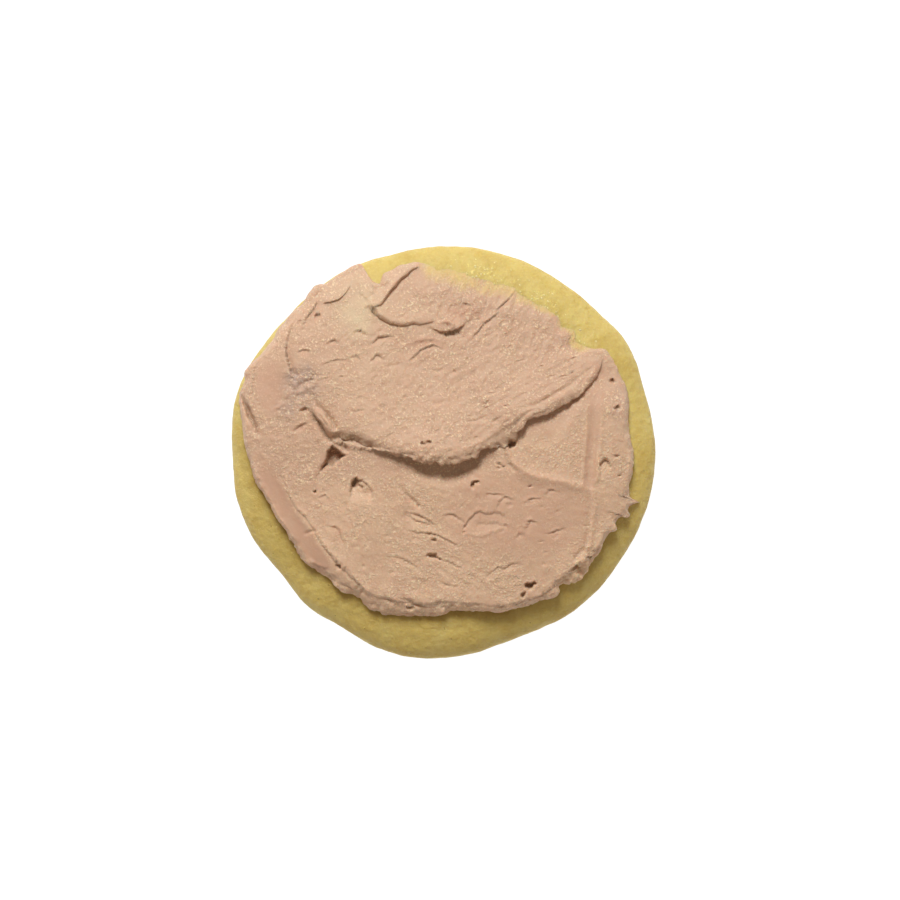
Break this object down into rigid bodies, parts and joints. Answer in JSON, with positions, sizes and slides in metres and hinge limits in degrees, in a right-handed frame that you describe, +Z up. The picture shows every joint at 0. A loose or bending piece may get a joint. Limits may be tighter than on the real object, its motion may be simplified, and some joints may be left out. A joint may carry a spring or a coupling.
{
  "type": "iced sugar cookie",
  "caption": "Soft round sugar cookie with a domed top and rounded edge, spread by knife with a thick layer of pale peach buttercream that ends in a curled lip.",
  "frame": {"origin": "middle of the flat base, on the surface that the cookie rests on", "axes": "+Z up, out of the iced face; the curled lip of the icing runs along X and its steep side faces -Y"},
  "size_m": [0.0862, 0.0838, 0.0183],
  "materials": {
    "dough": "soft baked sugar-cookie dough: pale butter yellow, fine even grain, faint greasy sheen",
    "buttercream": "beaten buttercream spread by knife: pale peach, soft satin sheen, small burst air bubbles"
  },
  "bodies": {
    "root": {"cookie": "dough", "icing": "buttercream"}
  },
  "joints": []
}
